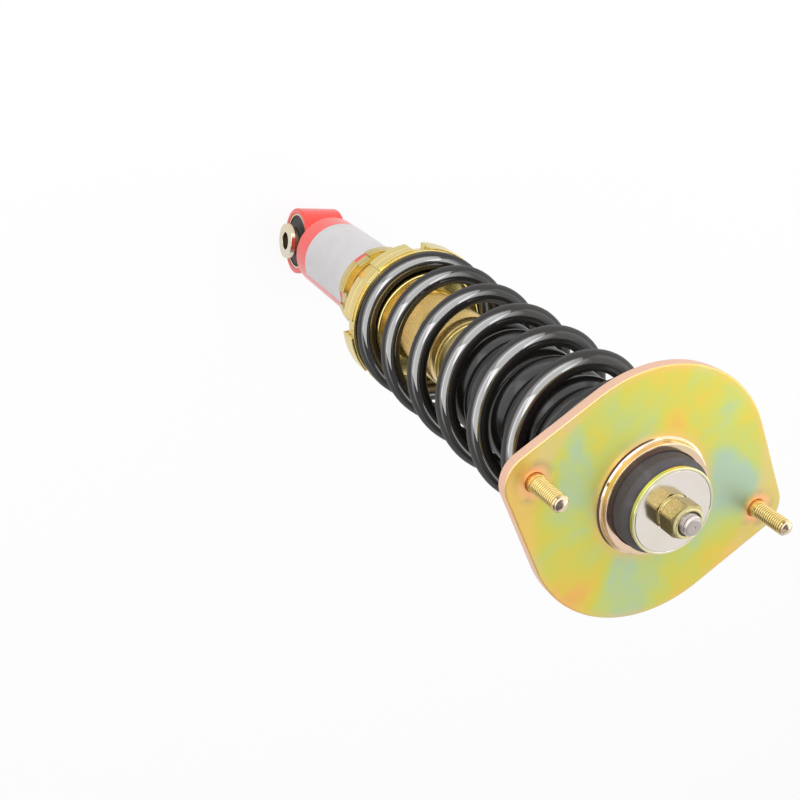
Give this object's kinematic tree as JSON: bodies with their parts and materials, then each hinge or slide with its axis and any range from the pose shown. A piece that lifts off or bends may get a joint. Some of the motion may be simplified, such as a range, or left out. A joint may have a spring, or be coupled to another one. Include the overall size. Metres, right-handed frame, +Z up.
{
  "type": "coilover",
  "caption": "Height-adjustable coilover with a two-stud rubber top mount, black coil spring, gold threaded body and red lower socket with a bushed eye.",
  "frame": {"origin": "centre of the lower eye's bore, midway along the inner sleeve", "axes": "+Z up the strut from the lower eye to the top mount; X parallel to the line through the two top studs. The eye's bore is turned 11 degrees from X about Z."},
  "size_m": [0.159, 0.1264, 0.4783],
  "materials": {
    "yellow_zinc": "iridescent yellow zinc plate",
    "gold_plate": "gold plated steel",
    "bright_steel": "bright",
    "chrome": "ground and hard chromed",
    "spring_black": "gloss black",
    "seat_red": "red anodised",
    "socket_red": "gloss red powder coat",
    "rubber": "matt",
    "boot_black": "satin",
    "foam": "cellular polyurethane",
    "bronze": "sintered",
    "nylon": "matt",
    "label_silver": "bare silver-grey film"
  },
  "bodies": {
    "top_mount": {"top_plate": "yellow_zinc", "bush_housing": "yellow_zinc", "mount_studs": "gold_plate", "upper_bush": "rubber", "lower_bush": "rubber", "upper_spring_seat": "seat_red", "spring_isolator": "rubber", "coil_spring": "spring_black"},
    "rod": {"piston_rod": "chrome", "stem_sleeve": "bright_steel", "top_washer": "bright_steel", "bottom_washer": "bright_steel", "stem_spacer": "gold_plate", "top_nut": "gold_plate", "bump_stop": "foam", "dust_boot": "boot_black", "rebound_stop": "nylon", "piston": "bronze", "piston_band": "nylon", "valve_shims": "bright_steel", "piston_nut": "bright_steel"},
    "damper": {"damper_tube": "gold_plate", "gland_cap": "gold_plate", "rod_guide": "bronze", "rod_seal": "rubber"},
    "gas_piston": {"floating_piston": "bronze", "floating_piston_ring": "rubber"},
    "perch": {"spring_perch": "gold_plate"},
    "perch_lock": {"perch_lock_ring": "gold_plate"},
    "socket": {"lower_socket": "socket_red", "socket_end_cap": "socket_red", "label_band": "label_silver", "weld_pad": "socket_red", "eye_barrel": "socket_red", "bush_shell": "bright_steel", "eye_bush": "rubber"},
    "socket_lock": {"socket_lock_ring": "gold_plate"},
    "eye_inner": {"eye_sleeve": "bright_steel"}
  },
  "joints": [
    {"name": "rod_swivel", "type": "hinge", "parent": "top_mount", "child": "rod", "pos_m": [0, 0, 0.42], "axis": [0, 0, 1], "continuous": true},
    {"name": "damper_stroke", "type": "slide", "parent": "rod", "child": "damper", "axis": [0, 0, 1], "range_m": [0, 0.075], "deforming": ["coil_spring", "dust_boot"]},
    {"name": "gas_piston_travel", "type": "slide", "parent": "damper", "child": "gas_piston", "axis": [0, 0, 1], "range_m": [-0.00812, 0]},
    {"name": "perch_height", "type": "slide", "parent": "damper", "child": "perch", "axis": [0, 0, 1], "range_m": [-0.012, 0.015], "deforming": ["coil_spring"]},
    {"name": "perch_lock_travel", "type": "slide", "parent": "perch", "child": "perch_lock", "axis": [0, 0, 1], "range_m": [-0.006, 0]},
    {"name": "socket_height", "type": "slide", "parent": "damper", "child": "socket", "axis": [0, 0, 1], "range_m": [-0.01, 0.01]},
    {"name": "socket_lock_travel", "type": "slide", "parent": "socket", "child": "socket_lock", "axis": [0, 0, 1], "range_m": [0, 0.006]},
    {"name": "eye_twist", "type": "hinge", "parent": "socket", "child": "eye_inner", "pos_m": [0, 0, 0], "axis": [0.9816, 0.1908, 0], "range_deg": [-15, 15], "stiffness_Nm_per_rad": 20}
  ],
  "couplings": [
    {"joint": "gas_piston_travel", "follows": "damper_stroke", "ratio": -0.10821}
  ]
}
